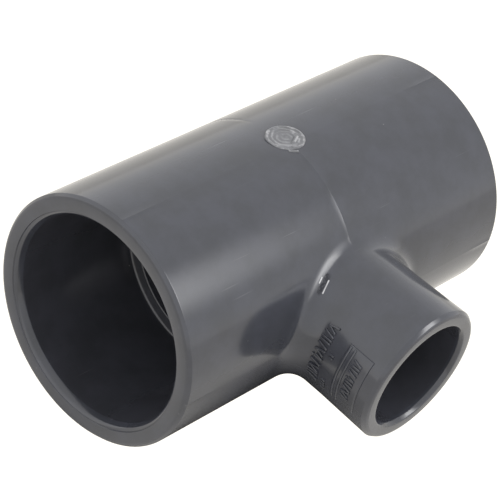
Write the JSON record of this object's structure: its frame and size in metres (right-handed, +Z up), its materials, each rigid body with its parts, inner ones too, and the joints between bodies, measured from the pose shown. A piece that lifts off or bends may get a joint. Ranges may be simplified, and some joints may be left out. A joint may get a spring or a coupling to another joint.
{
  "type": "reducing pipe tee",
  "caption": "Grey moulded pipe tee with two large in-line solvent sockets and one smaller side socket.",
  "frame": {"origin": "under the middle of the body's box, on the plane that the run would lie on; the run's and the branch's axes cross at (0, 0.0112, 0.0295)", "axes": "+X along the run, -Y out of the branch, +Z up, with the gate scar on top"},
  "size_m": [0.106, 0.0814, 0.0593],
  "materials": {
    "grey_pvc": "smooth dark grey moulded PVC, semi-gloss outside and slightly duller in the sockets"
  },
  "bodies": {
    "root": {"tee_body": "grey_pvc"}
  },
  "joints": []
}
